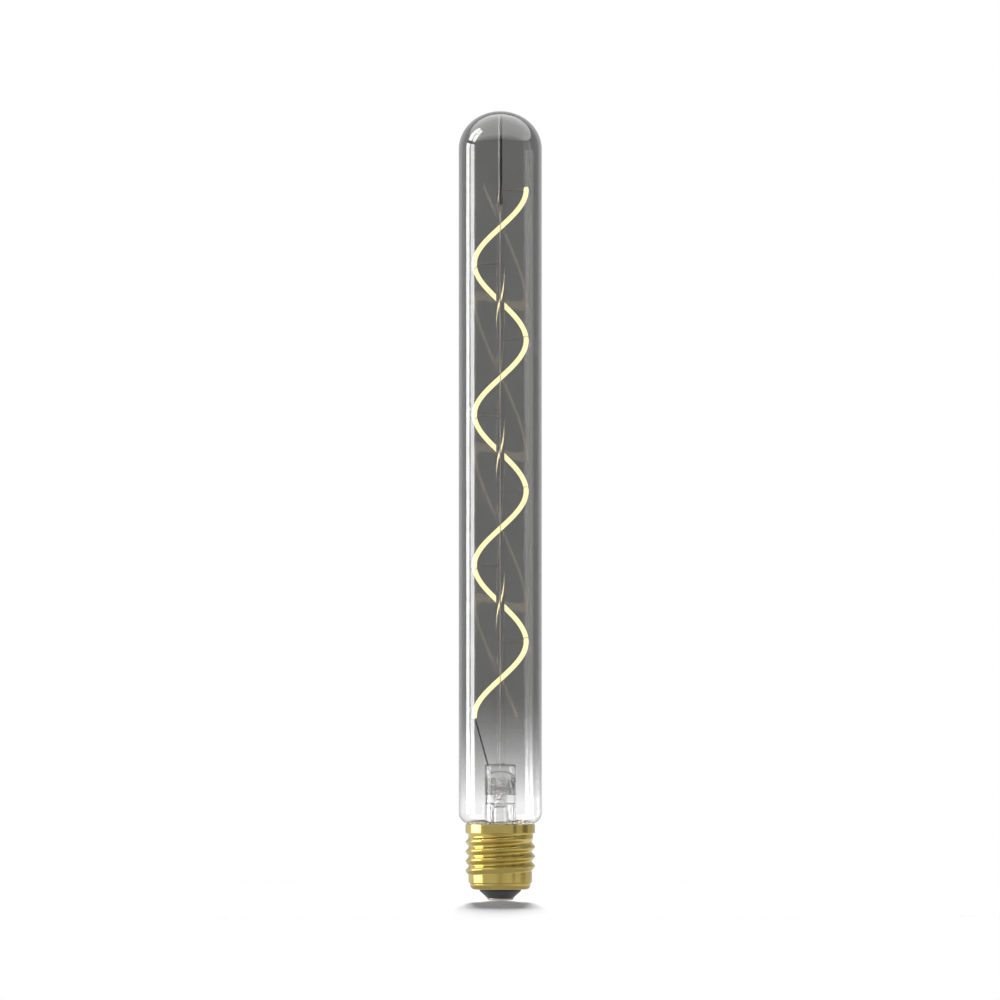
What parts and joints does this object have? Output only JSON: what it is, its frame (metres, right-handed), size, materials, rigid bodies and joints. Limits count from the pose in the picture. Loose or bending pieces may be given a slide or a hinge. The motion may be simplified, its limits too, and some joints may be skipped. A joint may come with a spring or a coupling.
{
  "type": "tubular light bulb",
  "caption": "Tubular LED filament light bulb: a helical glowing filament on a glass stem in a long smoked glass tube, with a brass screw cap.",
  "frame": {"origin": "centre of the centre contact's lower face", "axes": "+Z along the lamp's axis from the cap to the dome, -Y towards the front"},
  "size_m": [0.0316, 0.0316, 0.3],
  "materials": {
    "smoked_glass": "smooth blown glass, grey smoke tint that fades to clear at the cap end",
    "clear_glass": "clear fire-polished glass",
    "filament_glow": "soft phosphor-filled silicone, lit pale yellow",
    "cap_brass": "bright plated brass, thin rolled sheet",
    "black_insulator": "black moulded insulator",
    "contact_metal": "dull silver plating",
    "lead_wire": "drawn nickel wire",
    "cap_cement": "cured capping cement",
    "board_laminate": "circuit board laminate",
    "chip_plastic": "moulded black epoxy",
    "part_ceramic": "ceramic component body"
  },
  "bodies": {
    "root": {"bridge_rectifier": "chip_plastic", "capping_cement": "cap_cement", "centre_contact": "contact_metal", "contact_wire": "lead_wire", "driver_board": "board_laminate", "driver_chip": "chip_plastic", "fusible_resistor": "part_ceramic", "glass_envelope": "smoked_glass", "glass_stem": "clear_glass", "insulator": "black_insulator", "led_filament": "filament_glow", "lower_lead": "lead_wire", "return_lead": "lead_wire", "screw_shell": "cap_brass", "sense_resistor": "part_ceramic", "shell_wire": "lead_wire", "smoothing_capacitor": "part_ceramic", "support_hook_01": "lead_wire", "support_hook_02": "lead_wire", "support_hook_03": "lead_wire", "support_hook_04": "lead_wire", "support_hook_05": "lead_wire", "support_hook_06": "lead_wire", "support_hook_07": "lead_wire", "support_hook_08": "lead_wire", "support_hook_09": "lead_wire", "support_hook_10": "lead_wire", "support_hook_11": "lead_wire", "support_hook_12": "lead_wire", "support_hook_13": "lead_wire", "top_anchor_wire": "lead_wire", "upper_lead": "lead_wire"}
  },
  "joints": []
}
